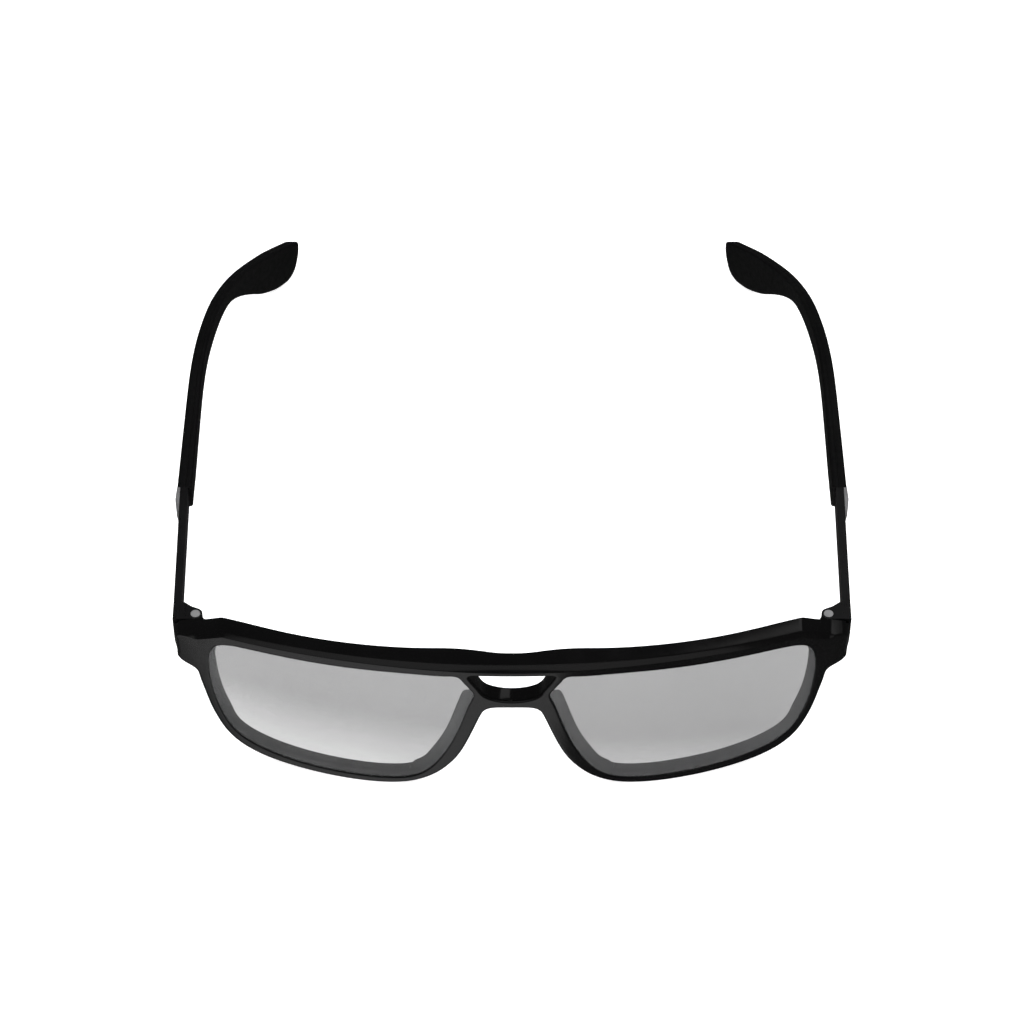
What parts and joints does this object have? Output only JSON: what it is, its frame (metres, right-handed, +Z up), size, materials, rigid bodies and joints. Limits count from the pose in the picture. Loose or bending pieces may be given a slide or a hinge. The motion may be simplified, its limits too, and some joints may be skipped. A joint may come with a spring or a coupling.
{
  "type": "smart glasses",
  "caption": "Double-bridge smart glasses with clear wrap lenses, hinged metal temple arms, and slim hollow temples holding speakers, boards and batteries.",
  "frame": {"origin": "middle of the footprint of the two lower rims and the two temple tips, on the surface the open glasses stand on", "axes": "+Z up, +Y from the front toward the wearer, X across the face with the wearer's left at +X"},
  "size_m": [0.1472, 0.1526, 0.0495],
  "materials": {
    "gloss_black": "polished black",
    "clear_lens": "clear, slightly grey",
    "dark_metal": "satin black",
    "bright_metal": "brushed",
    "screw_metal": "satin",
    "matte_shell": "fine matte black",
    "board": "solder mask",
    "chip": "moulded",
    "film": "polyimide film",
    "speaker_can": "stamped",
    "mesh_metal": "etched mesh",
    "cell_foil": "laminate foil",
    "gold": "gold plated"
  },
  "bodies": {
    "front": {"front_frame": "gloss_black", "lens_right": "clear_lens", "lens_left": "clear_lens", "nose_pad_right": "gloss_black", "nose_pad_left": "gloss_black", "hinge_leaf_right": "screw_metal", "hinge_leaf_left": "screw_metal", "leaf_screws": "screw_metal"},
    "temple_right": {"temple_arm_right": "dark_metal", "temple_trim_right": "bright_metal", "outer_shell_right": "matte_shell", "inner_shell_right": "matte_shell", "hinge_screw_right": "screw_metal", "circuit_board_right": "board", "touch_sensor_right": "film", "processor_right": "chip", "audio_amplifier_right": "chip", "microphone_right": "chip", "speaker_right": "speaker_can", "speaker_grille_right": "mesh_metal", "battery_right": "cell_foil", "battery_lead_right": "film", "charging_contacts_right": "gold"},
    "temple_left": {"temple_arm_left": "dark_metal", "temple_trim_left": "bright_metal", "outer_shell_left": "matte_shell", "inner_shell_left": "matte_shell", "hinge_screw_left": "screw_metal", "circuit_board_left": "board", "touch_sensor_left": "film", "processor_left": "chip", "audio_amplifier_left": "chip", "microphone_left": "chip", "speaker_left": "speaker_can", "speaker_grille_left": "mesh_metal", "battery_left": "cell_foil", "battery_lead_left": "film", "charging_contacts_left": "gold"}
  },
  "joints": [
    {"name": "right_temple_fold", "type": "hinge", "parent": "front", "child": "temple_right", "pos_m": [-0.0674, -0.05931, 0.04541], "axis": [0, -0.0901, -0.9959], "range_deg": [0, 83]},
    {"name": "left_temple_fold", "type": "hinge", "parent": "front", "child": "temple_left", "pos_m": [0.0674, -0.05931, 0.04541], "axis": [0, 0.0901, 0.9959], "range_deg": [0, 69]}
  ]
}
